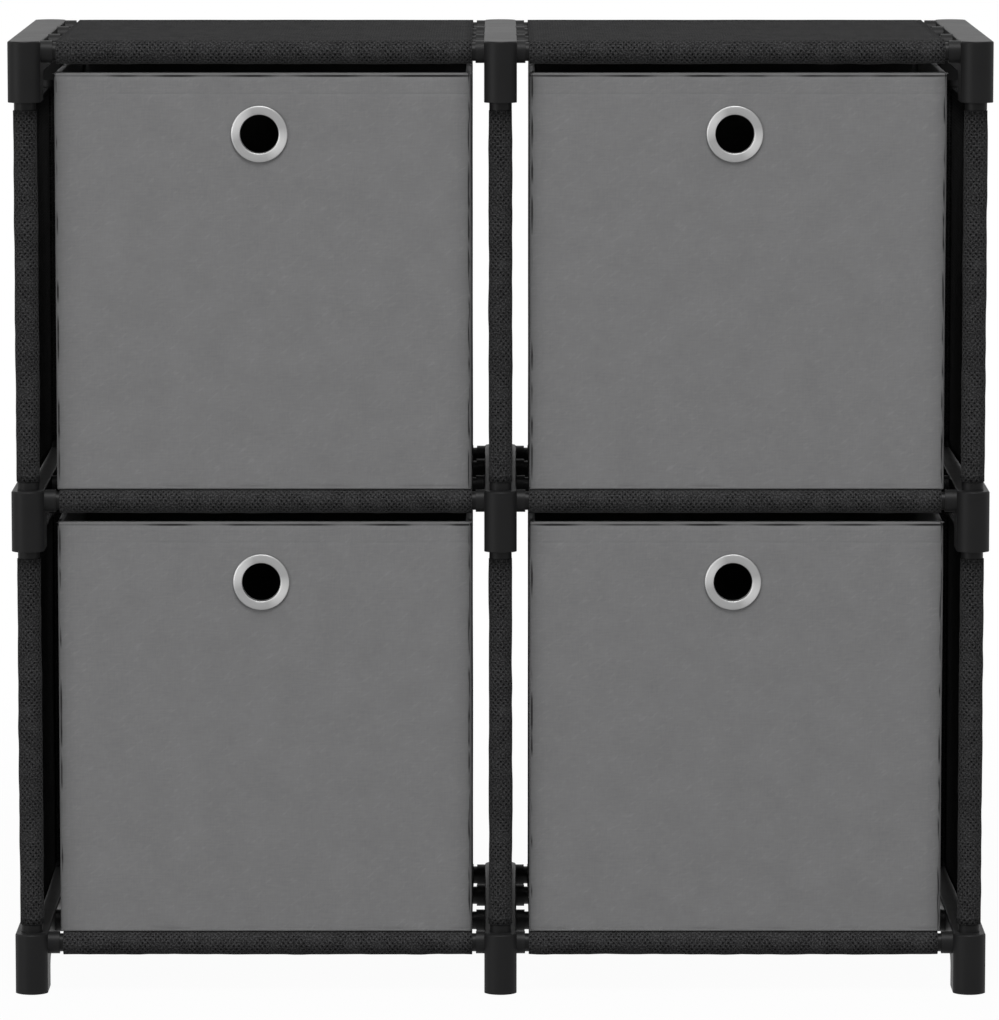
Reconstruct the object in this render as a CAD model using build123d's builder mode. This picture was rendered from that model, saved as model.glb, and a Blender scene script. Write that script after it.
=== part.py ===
"""Two-by-two cube storage unit: a push-fit frame of moulded depth bars and steel tubes,
cloth shelves and side panels sleeved over the tubes, and four open fabric boxes."""
import os

from build123d import *

# Overall size, in millimetres. The front faces -Y and the feet stand on Z = 0.
unit_width = 690.0
unit_depth = 300.0
storey_pitch = 317.0

# Depth bars, moulded in one piece with a boss at each end
bar_width = 23.0
boss_height = 43.0
boss_length = 38.0
boss_bulge = 8.0
boss_corner_radius = 3.0
beam_height = 24.0
beam_fillet = 7.0
lower_edge_radius = 3.0
top_edge_radius = 1.2
foot_edge_radius = 0.4

# Ribbed pockets in the underside of a bar
pocket_wall = 3.0
pocket_roof = 4.0
pocket_rib = 3.0
socket_margin = 1.5

# Steel tubes, used both as rails and as posts
tube_diameter = 13.0
tube_wall = 0.6
post_inset = 16.0

# Sockets that the tubes push into
fit_gap = 0.1
end_gap = 0.1
rail_collar_wall = 1.3
outer_collar_length = 8.2
centre_collar_length = 6.0
rail_socket_web = 1.3
post_collar_wall = 1.2
post_collar_length = 5.5
post_socket_web = 7.0

# Cloth shelves and side panels
cloth_thickness = 1.6
shelf_end_gap = 2.6
sleeve_end_gap = 0.5
panel_foot_gap = 2.0
panel_tab_inset = 12.0
panel_tab_radius = 3.0

# Fabric boxes and the room that they leave inside the frame
rest_gap = 0.3
box_side_gap = 8.75
box_face_inset = 12.5
box_head_gap = 6.3
box_corner_radius = 2.0
skin_thickness = 1.0
board_thickness = 2.0
board_gap = 0.1
board_corner_gap = 3.0
lining_lift = 3.0
base_thickness = 2.5
base_side_gap = 3.0
base_corner_radius = 3.0

# Eyelet that serves as the pull of a box
eyelet_diameter = 40.0
eyelet_hole = 27.5
eyelet_crown = 1.8
eyelet_wall = 0.8
eyelet_drop = 43.0
eyelet_offset = -2.4
eyelet_lip_width = 2.4
washer_thickness = 0.8

# Sizes that follow from the ones above
bay_pitch = (unit_width - bar_width) / 2
bay_clear = bay_pitch - bar_width
half_depth = unit_depth / 2
post_y = half_depth - post_inset
middle_rail_y = unit_depth / 6
tube_radius = tube_diameter / 2
bore_radius = tube_radius - tube_wall
socket_radius = tube_radius + fit_gap
rail_collar_radius = socket_radius + rail_collar_wall
rail_socket_end = socket_radius + rail_socket_web
post_collar_radius = socket_radius + post_collar_wall
post_socket_depth = (boss_height - post_socket_web) / 2
rail_drop = rail_collar_radius
sleeve_radius = socket_radius + cloth_thickness
shelf_rise = sleeve_radius - rail_drop
shelf_place = bay_pitch / 2 - (outer_collar_length - centre_collar_length) / 2
box_wall = 2 * skin_thickness + board_thickness + 2 * board_gap
box_width = bay_clear - 2 * box_side_gap
box_depth = unit_depth - 2 * box_face_inset
box_lift = shelf_rise + rest_gap
box_height = storey_pitch - rail_drop - sleeve_radius - box_head_gap - box_lift
inner_width = box_width - 2 * box_wall
inner_depth = box_depth - 2 * box_wall
eyelet_radius = eyelet_diameter / 2
eyelet_hole_radius = eyelet_hole / 2
barrel_radius = eyelet_hole_radius + eyelet_wall

# Where each post line, bay, bar level and storey is
line_x = {"left": -bay_pitch, "centre": 0.0, "right": bay_pitch}
bay_x = {"left": -bay_pitch / 2, "right": bay_pitch / 2}
shelf_x = {"left": -shelf_place, "right": shelf_place}
level_top = {
    "bottom": boss_height,
    "middle": boss_height + storey_pitch,
    "top": boss_height + 2 * storey_pitch,
}
storey_floor = {"lower": level_top["bottom"], "upper": level_top["middle"]}
row_y = {"front": -post_y, "back": post_y}
rail_y = (-post_y, -middle_rail_y, middle_rail_y, post_y)
collar_length = {
    "left": outer_collar_length,
    "centre": centre_collar_length,
    "right": outer_collar_length,
}


def save(builder, name):
    """Label a finished piece and write it under its own name."""
    builder.part.label = name
    export_step(builder.part, f"parts/{name}.step")


def bar_body(x, top):
    """Beam with a boss at each end, bowed in plan, with ribbed pockets underneath."""
    foot = top - boss_height
    beam_foot = top - beam_height
    boss_inner = half_depth - boss_length
    half_width = bar_width / 2
    flank_end = half_depth - boss_bulge
    with BuildPart() as body:
        with BuildSketch(Plane.YZ.offset(x)):
            with Locations((0, top - beam_height / 2)):
                Rectangle(unit_depth, beam_height)
            with Locations((0, top - boss_height / 2)):
                with GridLocations(unit_depth - boss_length, 0, 2, 1):
                    Rectangle(boss_length, boss_height)
        extrude(amount=half_width, both=True)
        with BuildSketch(Plane.XY.offset(foot)) as plan:
            with BuildLine():
                Line((x - half_width, -flank_end), (x - half_width, flank_end))
                ThreePointArc((x - half_width, flank_end), (x, half_depth), (x + half_width, flank_end))
                Line((x + half_width, flank_end), (x + half_width, -flank_end))
                ThreePointArc((x + half_width, -flank_end), (x, -half_depth), (x - half_width, -flank_end))
            make_face()
            fillet(plan.vertices(), boss_corner_radius)
        extrude(amount=boss_height, mode=Mode.INTERSECT)
        fillet(body.edges().filter_by(Axis.X).group_by(Axis.Z)[-1], beam_fillet)
        flanks = body.faces().filter_by(Axis.X).edges()
        underside = flanks.filter_by_position(Axis.Y, -boss_inner, boss_inner)
        fillet(underside.filter_by_position(Axis.Z, foot, beam_foot), lower_edge_radius)
        fillet(body.faces().sort_by(Axis.Z)[-1].edges(), top_edge_radius)
        fillet(body.faces().group_by(Axis.Z)[0].edges(), foot_edge_radius)
        pocket_width = bar_width - 2 * pocket_wall
        block = rail_collar_radius + socket_margin
        inner_length = middle_rail_y - block - pocket_rib / 2
        outer_start = middle_rail_y + block
        outer_length = boss_inner - beam_fillet - pocket_rib - outer_start
        with BuildSketch(Plane.XY.offset(beam_foot)):
            with Locations((x, 0)):
                with GridLocations(0, inner_length + pocket_rib, 1, 2):
                    Rectangle(pocket_width, inner_length)
                with GridLocations(0, 2 * outer_start + outer_length, 1, 2):
                    Rectangle(pocket_width, outer_length)
        extrude(amount=beam_height - pocket_roof, mode=Mode.SUBTRACT)
    return body.part


def depth_bar(name, x, top, collar, rail_sides, post_faces):
    """One moulded bar with collared sockets for the rails beside it and the posts at its ends."""
    body = bar_body(x, top)
    rail_places = [(y, top - rail_drop) for y in rail_y]
    collar_reach = bar_width / 2 + collar
    with BuildPart() as bar:
        add(body)
        for side in rail_sides:
            with BuildSketch(Plane.YZ.offset(x)):
                with Locations(*rail_places):
                    Circle(rail_collar_radius)
            extrude(amount=side * collar_reach)
        for face, way in post_faces:
            with BuildSketch(Plane.XY.offset(face - way * post_socket_depth)):
                with Locations((x, 0)):
                    with GridLocations(0, 2 * post_y, 1, 2):
                        Circle(post_collar_radius)
            extrude(amount=way * (post_socket_depth + post_collar_length))
        for side in rail_sides:
            with BuildSketch(Plane.YZ.offset(x + side * rail_socket_end)):
                with Locations(*rail_places):
                    Circle(socket_radius)
            extrude(amount=side * (collar_reach - rail_socket_end), mode=Mode.SUBTRACT)
        for face, way in post_faces:
            with BuildSketch(Plane.XY.offset(face - way * post_socket_depth)):
                with Locations((x, 0)):
                    with GridLocations(0, 2 * post_y, 1, 2):
                        Circle(socket_radius)
            extrude(amount=way * (post_socket_depth + post_collar_length), mode=Mode.SUBTRACT)
    save(bar, name)


def rail_pair(name, y, top):
    """The two rails in one row of a level, one in each bay."""
    length = bay_pitch - 2 * (rail_socket_end + end_gap)
    with BuildPart() as rails:
        for x in bay_x.values():
            with BuildSketch(Plane.YZ.offset(x)):
                with Locations((y, top - rail_drop)):
                    Circle(tube_radius)
                    Circle(bore_radius, mode=Mode.SUBTRACT)
            extrude(amount=length / 2, both=True)
    save(rails, name)


def post_pair(name, x, y):
    """The lower and the upper post on one post line, between the bars."""
    length = storey_pitch - boss_height + 2 * (post_socket_depth - end_gap)
    with BuildPart() as posts:
        for floor in storey_floor.values():
            with BuildSketch(Plane.XY.offset(floor - post_socket_depth + end_gap)):
                with Locations((x, y)):
                    Circle(tube_radius)
                    Circle(bore_radius, mode=Mode.SUBTRACT)
            extrude(amount=length)
    save(posts, name)


def shelf_cloth(name, x, top):
    """A shelf: flat cloth over four rails, sewn into a sleeve round the first and the last."""
    axis = top - rail_drop
    width = bay_clear - outer_collar_length - centre_collar_length - 2 * shelf_end_gap
    with BuildPart() as cloth:
        with BuildSketch(Plane.YZ.offset(x)):
            with Locations((0, axis + sleeve_radius - cloth_thickness / 2)):
                Rectangle(2 * post_y, cloth_thickness)
            with Locations((0, axis)):
                with GridLocations(2 * post_y, 0, 2, 1):
                    Circle(sleeve_radius)
                    Circle(socket_radius, mode=Mode.SUBTRACT)
        extrude(amount=width / 2, both=True)
    save(cloth, name)


def side_cloth(name, x, floor):
    """An upright panel: cloth sewn into a sleeve round the front post and the back post."""
    sleeve_foot = floor + post_collar_length + sleeve_end_gap
    sleeve_top = floor + storey_pitch - boss_height - post_collar_length - sleeve_end_gap
    panel_foot = floor + panel_foot_gap
    with BuildPart() as cloth:
        with BuildSketch(Plane.YZ.offset(x)) as sheet:
            with Locations((0, (sleeve_foot + sleeve_top) / 2)):
                Rectangle(2 * post_y, sleeve_top - sleeve_foot)
            with Locations((0, (panel_foot + sleeve_top) / 2)):
                Rectangle(2 * (post_y - panel_tab_inset), sleeve_top - panel_foot)
            fillet(sheet.vertices().group_by(Axis.Y)[0], panel_tab_radius)
        extrude(amount=cloth_thickness / 2, both=True)
        with BuildSketch(Plane.XY.offset(sleeve_foot)):
            with Locations((x, 0)):
                with GridLocations(0, 2 * post_y, 1, 2):
                    Circle(sleeve_radius)
        extrude(amount=sleeve_top - sleeve_foot)
        with BuildSketch(Plane.XY.offset(sleeve_foot)):
            with Locations((x, 0)):
                with GridLocations(0, 2 * post_y, 1, 2):
                    Circle(socket_radius)
        extrude(amount=sleeve_top - sleeve_foot, mode=Mode.SUBTRACT)
    save(cloth, name)


def box_cover(name, x, foot):
    """Fabric skin of a box, folded over the rim into a lining that pockets the wall boards."""
    pocket_inset = skin_thickness + board_thickness + 2 * board_gap
    eyelet_z = foot + box_height - eyelet_drop
    with BuildPart() as cover:
        with BuildSketch(Plane.XY.offset(foot)):
            with Locations((x, 0)):
                RectangleRounded(box_width, box_depth, box_corner_radius)
        extrude(amount=box_height)
        with BuildSketch(Plane.XY.offset(foot + skin_thickness)):
            with Locations((x, 0)):
                Rectangle(inner_width, inner_depth)
        extrude(amount=box_height, mode=Mode.SUBTRACT)
        with BuildSketch(Plane.XY.offset(foot + skin_thickness)):
            with Locations((x, 0)):
                RectangleRounded(
                    box_width - 2 * skin_thickness,
                    box_depth - 2 * skin_thickness,
                    box_corner_radius - skin_thickness,
                )
                Rectangle(
                    box_width - 2 * pocket_inset,
                    box_depth - 2 * pocket_inset,
                    mode=Mode.SUBTRACT,
                )
        extrude(amount=box_height - 2 * skin_thickness, mode=Mode.SUBTRACT)
        with BuildSketch(Plane.XY.offset(foot + skin_thickness)):
            with Locations((x, 0)):
                Rectangle(box_width - 2 * pocket_inset, box_depth - 2 * pocket_inset)
        extrude(amount=lining_lift, mode=Mode.SUBTRACT)
        with BuildSketch(Plane.XZ.offset(box_depth / 2)):
            with Locations((x + eyelet_offset, eyelet_z)):
                Circle(barrel_radius + fit_gap)
        extrude(amount=-box_wall, mode=Mode.SUBTRACT)
    save(cover, name)


def box_boards(name, x, foot):
    """The four stiffening boards in the walls of a box, the front one holed for the eyelet."""
    height = box_height - 2 * (skin_thickness + board_gap)
    inset = skin_thickness + board_gap
    corner = inset + board_thickness + board_corner_gap
    eyelet_z = foot + box_height - eyelet_drop
    with BuildPart() as boards:
        with BuildSketch(Plane.XY.offset(foot + inset)):
            with Locations((x, 0)):
                with GridLocations(0, box_depth - 2 * inset - board_thickness, 1, 2):
                    Rectangle(box_width - 2 * corner, board_thickness)
                with GridLocations(box_width - 2 * inset - board_thickness, 0, 2, 1):
                    Rectangle(board_thickness, box_depth - 2 * corner)
        extrude(amount=height)
        with BuildSketch(Plane.XZ.offset(box_depth / 2)):
            with Locations((x + eyelet_offset, eyelet_z)):
                Circle(barrel_radius + fit_gap)
        extrude(amount=-box_wall, mode=Mode.SUBTRACT)
    save(boards, name)


def box_base(name, x, foot):
    """The loose board that lies on the floor of a box and lifts out."""
    with BuildPart() as base:
        with BuildSketch(Plane.XY.offset(foot + skin_thickness + rest_gap)):
            with Locations((x, 0)):
                RectangleRounded(
                    inner_width - 2 * base_side_gap,
                    inner_depth - 2 * base_side_gap,
                    base_corner_radius,
                )
        extrude(amount=base_thickness)
    save(base, name)


def eyelet_plane(x, foot):
    """Section plane through an eyelet: radius along its first axis, out of the box along its second."""
    centre = (x + eyelet_offset, -box_depth / 2, foot + box_height - eyelet_drop)
    return Plane(origin=centre, x_dir=(0, 0, 1), z_dir=(1, 0, 0))


def box_eyelet(name, x, foot):
    """Domed ring with a barrel through the wall, its end rolled over the washer."""
    plane = eyelet_plane(x, foot)
    crown_radius = (eyelet_radius + eyelet_hole_radius) / 2
    lip_face = -box_wall - washer_thickness
    lip_end = lip_face - eyelet_wall
    with BuildPart() as eyelet:
        with BuildSketch(plane):
            with BuildLine():
                ThreePointArc((eyelet_hole_radius, 0), (crown_radius, eyelet_crown), (eyelet_radius, 0))
                Polyline(
                    (eyelet_radius, 0),
                    (barrel_radius, 0),
                    (barrel_radius, lip_face),
                    (barrel_radius + eyelet_lip_width, lip_face),
                    (barrel_radius + eyelet_lip_width, lip_end),
                    (eyelet_hole_radius, lip_end),
                    (eyelet_hole_radius, 0),
                )
            make_face()
        revolve(axis=Axis(plane.origin, (0, 1, 0)))
    save(eyelet, name)


def box_washer(name, x, foot):
    """Flat ring behind the wall, gripped by the rolled end of the eyelet."""
    with BuildPart() as washer:
        with BuildSketch(Plane.XZ.offset(box_depth / 2 - box_wall)):
            with Locations((x + eyelet_offset, foot + box_height - eyelet_drop)):
                Circle(eyelet_radius)
                Circle(barrel_radius + fit_gap, mode=Mode.SUBTRACT)
        extrude(amount=-washer_thickness)
    save(washer, name)


os.makedirs("parts", exist_ok=True)

# The frame: bars, then the rails and posts between them
inner_sides = {"left": (1,), "centre": (-1, 1), "right": (-1,)}
for level, top in level_top.items():
    faces = []
    if level != "top":
        faces.append((top, 1))
    if level != "bottom":
        faces.append((top - boss_height, -1))
    for line, x in line_x.items():
        depth_bar(f"{level}_{line}_bar", x, top, collar_length[line], inner_sides[line], faces)
    for row, y in enumerate(rail_y):
        rail_pair(f"{level}_rails_{row + 1}", y, top)
for line, x in line_x.items():
    for row, y in row_y.items():
        post_pair(f"{line}_{row}_posts", x, y)

# The cloth: a shelf on each level of each bay, an upright panel on each post line
for level, top in level_top.items():
    for bay, x in shelf_x.items():
        shelf_cloth(f"{level}_{bay}_shelf", x, top)
for storey, floor in storey_floor.items():
    for line, x in line_x.items():
        side_cloth(f"{storey}_{line}_panel", x, floor)

# The boxes, one in each bay of each storey
for storey, floor in storey_floor.items():
    for bay, x in bay_x.items():
        box = f"{storey}_{bay}_box"
        box_cover(f"{box}_cover", x, floor + box_lift)
        box_boards(f"{box}_boards", x, floor + box_lift)
        box_base(f"{box}_base", x, floor + box_lift)
        box_eyelet(f"{box}_eyelet", x, floor + box_lift)
        box_washer(f"{box}_washer", x, floor + box_lift)
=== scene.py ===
"""Dresses the cube storage unit: sewn cloth on the tube frame, fabric boxes, finishes and a white stage."""
import math

import bmesh
import bpy
from bpy.props import FloatProperty, FloatVectorProperty, IntProperty, PointerProperty
from mathutils import Matrix, Vector, noise


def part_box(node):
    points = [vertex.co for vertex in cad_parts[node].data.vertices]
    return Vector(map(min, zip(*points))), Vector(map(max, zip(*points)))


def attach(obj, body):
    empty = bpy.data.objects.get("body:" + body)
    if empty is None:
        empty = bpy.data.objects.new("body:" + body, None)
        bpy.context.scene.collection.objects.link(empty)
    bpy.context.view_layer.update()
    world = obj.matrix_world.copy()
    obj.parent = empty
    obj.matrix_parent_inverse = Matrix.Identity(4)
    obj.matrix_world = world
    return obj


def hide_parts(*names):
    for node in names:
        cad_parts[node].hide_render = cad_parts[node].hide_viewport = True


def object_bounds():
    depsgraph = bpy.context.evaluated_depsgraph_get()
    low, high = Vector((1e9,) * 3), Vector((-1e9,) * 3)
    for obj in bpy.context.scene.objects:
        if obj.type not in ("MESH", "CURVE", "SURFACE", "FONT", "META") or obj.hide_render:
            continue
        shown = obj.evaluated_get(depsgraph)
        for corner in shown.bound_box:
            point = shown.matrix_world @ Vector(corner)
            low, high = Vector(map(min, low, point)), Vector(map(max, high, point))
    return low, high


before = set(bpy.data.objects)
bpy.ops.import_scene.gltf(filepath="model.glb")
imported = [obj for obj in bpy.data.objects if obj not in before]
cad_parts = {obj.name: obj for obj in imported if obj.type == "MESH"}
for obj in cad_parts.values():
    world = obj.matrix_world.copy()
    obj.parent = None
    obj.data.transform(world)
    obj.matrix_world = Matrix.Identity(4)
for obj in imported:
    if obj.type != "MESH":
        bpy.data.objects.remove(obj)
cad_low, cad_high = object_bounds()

bl_info = {
    "name": "Cube Storage Unit",
    "version": (1, 0, 0),
    "blender": (4, 5, 0),
    "location": "View3D > Sidebar > Cube Unit",
    "description": "Cloth, fabric boxes, finishes and stage for a two-by-two cube storage unit",
    "category": "Object",
}

MM = 0.001
LEVELS = ("bottom", "middle", "top")
STOREYS = ("lower", "upper")
LINES = ("left", "centre", "right")
BAYS = ("left", "right")
BOXES = tuple(f"{storey}_{bay}_box" for storey in STOREYS for bay in BAYS)
CUT_MAP = "cut"
# Vertex attribute of painted shade: darkness painted into the seam grooves and beside the upright corners of
# a cover.
PAINTED_SHADE_LAYER = "seam"

# Steps that a cloth is cut into: along its tubes, over its flat part, round a tube and at its ends.
CLOTH_COLUMNS = 48
SHELF_STEPS = 30
PANEL_STEPS = 24
WRAP_STEPS = 20
RISE_STEPS = 4
LAP_STEPS = 3
FOLD_STEPS = 3
FOLD_RADIUS = 3 * MM
STITCH_INSET = 2 * MM

# A second ply lies this many thicknesses from the first, and a tab below a panel eases in over this length.
PLY_GAP = 1.1
TAB_EASE = 4 * MM

# Waves per metre in the cloth of the frame and in the covers of the boxes.
SHELF_RIPPLES = 18
PANEL_RIPPLES = 14
PANEL_WAVES = 5
PUCKERS = 70
SEAM_GAPES = 38
WALL_WAVES = 11

# A panel's waves in ripples, the angle a shelf's sag arches through, and how much shorter side seams gape.
WAVE_RIPPLES = 6
SAG_ARCH = 2.4
SIDE_GAPES = 2.2

# Weave of the box fabric, and the slant of the flecks in it.
THREAD_PITCH = 1.15 * MM
FLECK_SLANT = math.radians(-35)

# Where the two painted highlight sectors of an eyelet's ring lie, as twice their angle.
PAINTED_GLINT_ANGLE = math.radians(304)
EYELET_STEPS = 96

# Cells each way from an eyelet that its hole is cut from, and the loops round the hole in eyelet radii.
HOLE_CELLS = 4
HOLE_RINGS = (1.06, 0.92, 0.75)

# How far a cover is drawn in beside its edges, the painted shade it gets there, and the room it leaves round
# its eyelet.
CORNER_DRAW = 0.35 * MM
CORNER_REACH = 4 * MM
RIM_DRAW = 0.2 * MM
RIM_REACH = 5 * MM
WALL_UNEVEN = 0.18 * MM
# Painted shade beside the upright corners: how dark it is, how far it reaches, and how far below the rim it
# fades in.
PAINTED_EDGE_SHADE = 0.55
SHADE_REACH = 4.5 * MM
SHADE_TOP = 3 * MM
EYELET_ROOM = 22 * MM
EYELET_EASE = 20 * MM

# How near counts as the same place, for cuts, for vertices to merge and for the edges of a rim.
CUT_DISTANCE = 1e-7
MERGE_DISTANCE = 1e-6
RIM_DISTANCE = 1e-5

ROUNDED = {"affect": "EDGES", "profile": 0.5, "material": -1, "offset_type": "OFFSET"}
WHITE = (1.0, 1.0, 1.0, 1.0)
FLOOR_GREY = (0.45, 0.45, 0.45, 1.0)
FLOOR_HALF = 30.0
SHADOW_FADE = (0.5, 1.6)
VIEW_REACH = 200.0


def length_value(name, default, description):
    """A size in metres that a user may change."""
    return FloatProperty(
        name=name, description=description, default=default, min=0.0, precision=5, unit="LENGTH"
    )


def colour_value(name, default, description):
    """A linear colour that a user may change."""
    return FloatVectorProperty(
        name=name, description=description, default=default, min=0.0, max=1.0, size=3, subtype="COLOR"
    )


def place_value(name, default, description):
    """A place in metres that a user may change."""
    return FloatVectorProperty(
        name=name, description=description, default=default, size=3, precision=4, subtype="XYZ", unit="LENGTH"
    )


def power_value(name, default, description):
    """The power of a lamp, in watts, that a user may change."""
    return FloatProperty(name=name, description=description, default=default, unit="POWER")


class ClothSizes(bpy.types.PropertyGroup):
    """Sizes of the black cloth that is sleeved over the rails and posts."""

    thickness: length_value("Thickness", 1.1 * MM, "Thickness of one ply of cloth")
    ease: length_value("Sleeve ease", 0.8 * MM, "Room between a tube and the inside of its sleeve")
    hang: length_value("Sleeve hang", 0.2 * MM, "How far a shelf's sleeve hangs below the middle of its rail")
    seam: length_value("Seam distance", 16 * MM, "From a tube's axis to the seam that closes its sleeve")
    lap: length_value("Lap", 8 * MM, "Cloth that runs on past the seam, under the other ply")
    sag: length_value("Sag", 0.9 * MM, "How far a shelf sinks between two rails")
    ripple: length_value("Ripple", 0.25 * MM, "Unevenness of the stretched cloth")
    pucker: length_value("Pucker", 0.5 * MM, "Fine unevenness of a sleeve along its tube")
    tab: length_value("Panel tab", 4 * MM, "How far a panel hangs below the ends of its sleeves")
    stitch: length_value("Stitch length", 3.4 * MM, "Length of one stitch")
    stitch_pitch: length_value("Stitch pitch", 4.8 * MM, "From one stitch to the next")
    thread: length_value("Thread", 0.55 * MM, "Thickness of the sewing thread")


class BoxSizes(bpy.types.PropertyGroup):
    """Sizes of the sewn covers of the fabric boxes and of their eyelets."""

    wall: length_value("Wall", 4.2 * MM, "Skin, board and lining together")
    corner: length_value("Corner radius", 1.6 * MM, "Radius of the upright corners")
    foot: length_value("Foot radius", 1.2 * MM, "Radius where the walls meet the floor of the box")
    rim: length_value("Rim radius", 1.1 * MM, "Radius of the fold over the rim")
    rim_seam: length_value("Rim seam", 2.3 * MM, "From the rim or the foot to the seam beside it")
    side_seam: length_value("Side seam", 1.9 * MM, "From a corner to the seam beside it")
    seam_width: length_value("Seam width", 1.0 * MM, "Half the width of the crease along a seam")
    seam_depth: length_value("Seam depth", 0.5 * MM, "Depth of the crease along a seam")
    skin: length_value("Skin", 0.9 * MM, "The deepest that the skin may be pressed in, over the boards")
    hem: length_value("Hem", 15 * MM, "From the rim to the lower edge of the hem inside it")
    cell: length_value("Cell", 6 * MM, "Spacing of the loops that the walls are cut into")
    eyelet_radius: length_value("Eyelet radius", 20 * MM, "Outer radius of the eyelet's flange")
    eyelet_band: length_value("Eyelet band", 6.5 * MM, "From the edge of the eyelet's flange to its hole")


class Finishes(bpy.types.PropertyGroup):
    """Colours of the finishes."""

    plastic: colour_value("Bar plastic", (0.008, 0.008, 0.0082), "Moulded depth bars")
    steel: colour_value("Tube paint", (0.0068, 0.0068, 0.007), "Powder coat on rails and posts")
    cloth: colour_value("Frame cloth", (0.0258, 0.0258, 0.0263), "Black cloth of shelves and panels")
    fabric: colour_value("Box fabric", (0.168, 0.168, 0.170), "Mid grey fabric of the boxes")
    board: colour_value("Board", (0.30, 0.25, 0.19), "Stiffening boards inside the walls")
    eyelet: colour_value("Eyelet metal", (0.325, 0.325, 0.325), "Nickel plate of the eyelets")


class StageValues(bpy.types.PropertyGroup):
    """Camera, light and floor."""

    camera_place: place_value("Camera place", (-0.0007, -4.8385, 0.9395), "Where the camera stands")
    camera_pitch: FloatProperty(
        name="Camera pitch", description="How far the camera looks down", default=0.1256, unit="ROTATION"
    )
    focal_pixels: FloatProperty(
        name="Focal length in pixels", description="Focal length in the picture's own pixels", default=6710.6
    )
    picture_height: IntProperty(
        name="Picture height", description="Height of the picture, its long side",
        default=1020, subtype="PIXEL",
    )
    ambient: FloatProperty(name="Ambient", description="Light from all round", default=0.2, min=0.0)
    key: power_value("Key lamp", 122.0, "Wide soft lamp at the left")
    key_place: place_value("Key place", (-5.0, -3.6, 0.9), "Where the key lamp hangs")
    top: power_value("Top lamp", 800.0, "Soft lamp above the front")
    top_place: place_value("Top place", (0.0, -3.8, 8.5), "Where the top lamp hangs")
    fill: power_value("Fill lamp", 52.0, "Weak soft lamp at the right")
    fill_place: place_value("Fill place", (4.5, -3.2, 1.4), "Where the fill lamp hangs")
    back: power_value("Back lamp", 95.0, "Soft lamp behind the unit")
    back_place: place_value("Back place", (0.0, 5.2, 2.4), "Where the back lamp hangs")
    lamp_width: length_value("Lamp width", 2.6, "Side of the square soft lamps at the sides and the back")
    top_width: length_value("Top lamp width", 4.0, "Side of the square soft lamp above the front")
    shadow: FloatProperty(
        name="Shadow share", description="How much of the shadow shows on the white floor",
        default=0.035, min=0.0, max=1.0, subtype="FACTOR",
    )


class Wire:
    """A shader socket that can stand in a Python expression."""

    def __init__(self, tree, socket=None):
        self.tree = tree
        self.socket = socket

    def node(self, kind, settings=None, sockets=None, output=0):
        """Add a node: its settings first, then the values or links of its sockets."""
        made = self.tree.nodes.new(kind)
        for name, value in (settings or {}).items():
            setattr(made, name, value)
        for name, value in (sockets or {}).items():
            if isinstance(value, Wire):
                self.tree.links.new(value.socket, made.inputs[name])
            else:
                made.inputs[name].default_value = value
        return Wire(self.tree, made.outputs[output]) if made.outputs else None

    def math(self, operation, first, second=0.0, third=0.0):
        """A Math node on up to three values or wires."""
        return self.node("ShaderNodeMath", {"operation": operation}, {0: first, 1: second, 2: third})

    def __add__(self, other):
        return self.math("ADD", self, other)

    def __radd__(self, other):
        return self.math("ADD", other, self)

    def __sub__(self, other):
        return self.math("SUBTRACT", self, other)

    def __rsub__(self, other):
        return self.math("SUBTRACT", other, self)

    def __mul__(self, other):
        return self.math("MULTIPLY", self, other)

    def __rmul__(self, other):
        return self.math("MULTIPLY", other, self)

    def __truediv__(self, other):
        return self.math("DIVIDE", self, other)

    def fraction(self):
        """What is left past the last whole number."""
        return self.math("FRACT", self)

    def smooth(self, low, high):
        """Zero below low, one above high, eased between."""
        sockets = {"Value": self, "From Min": low, "From Max": high}
        return self.node("ShaderNodeMapRange", {"interpolation_type": "SMOOTHSTEP"}, sockets)

    def noise(self, vector, scale, detail=2.0, roughness=0.5):
        """Noise from 0 to 1, scale in cells per metre."""
        sockets = {"Vector": vector, "Scale": scale, "Detail": detail, "Roughness": roughness}
        return self.node("ShaderNodeTexNoise", {}, sockets)

    def blend(self, share, first, second):
        """Colour that goes from first to second as share goes from 0 to 1."""
        sockets = {"Factor": share, 6: first, 7: second}
        return self.node("ShaderNodeMix", {"data_type": "RGBA"}, sockets, output=2)

    def stretched(self, vector, factors):
        """A vector multiplied part by part."""
        return self.node("ShaderNodeVectorMath", {"operation": "MULTIPLY"}, {0: vector, 1: factors})

    def parts(self, vector):
        """The three parts of a vector."""
        split = self.node("ShaderNodeSeparateXYZ", {}, {"Vector": vector})
        outputs = split.socket.node.outputs
        return [Wire(self.tree, outputs[part]) for part in ("X", "Y", "Z")]

    def bump(self, height, distance, strength=1.0):
        """A normal bent by a height from 0 to 1, over a distance in metres."""
        return self.node("ShaderNodeBump", {}, {"Height": height, "Distance": distance, "Strength": strength})

    def object_place(self):
        """Place on the object, in metres."""
        return self.node("ShaderNodeTexCoord", output="Object")

    def cut_place(self):
        """Place on the cut cloth, in metres."""
        return self.node("ShaderNodeUVMap", {"uv_map": CUT_MAP})


def rgba(colour, gain=1.0):
    """A colour property as a four-part value, made lighter or darker by a gain."""
    return (*[part * gain for part in colour], 1.0)


def empty_tree(owner):
    """The emptied node tree of a material or a world, as a wire to build on."""
    owner.use_nodes = True
    owner.node_tree.nodes.clear()
    return Wire(owner.node_tree)


def surface(name, build):
    """A material whose shader sockets are filled by build, made once and then shared."""
    material = bpy.data.materials.get(name)
    if material:
        return material
    material = bpy.data.materials.new(name)
    wire = empty_tree(material)
    shader = wire.node("ShaderNodeBsdfPrincipled", {}, build(wire))
    wire.node("ShaderNodeOutputMaterial", {}, {"Surface": shader})
    return material


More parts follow.
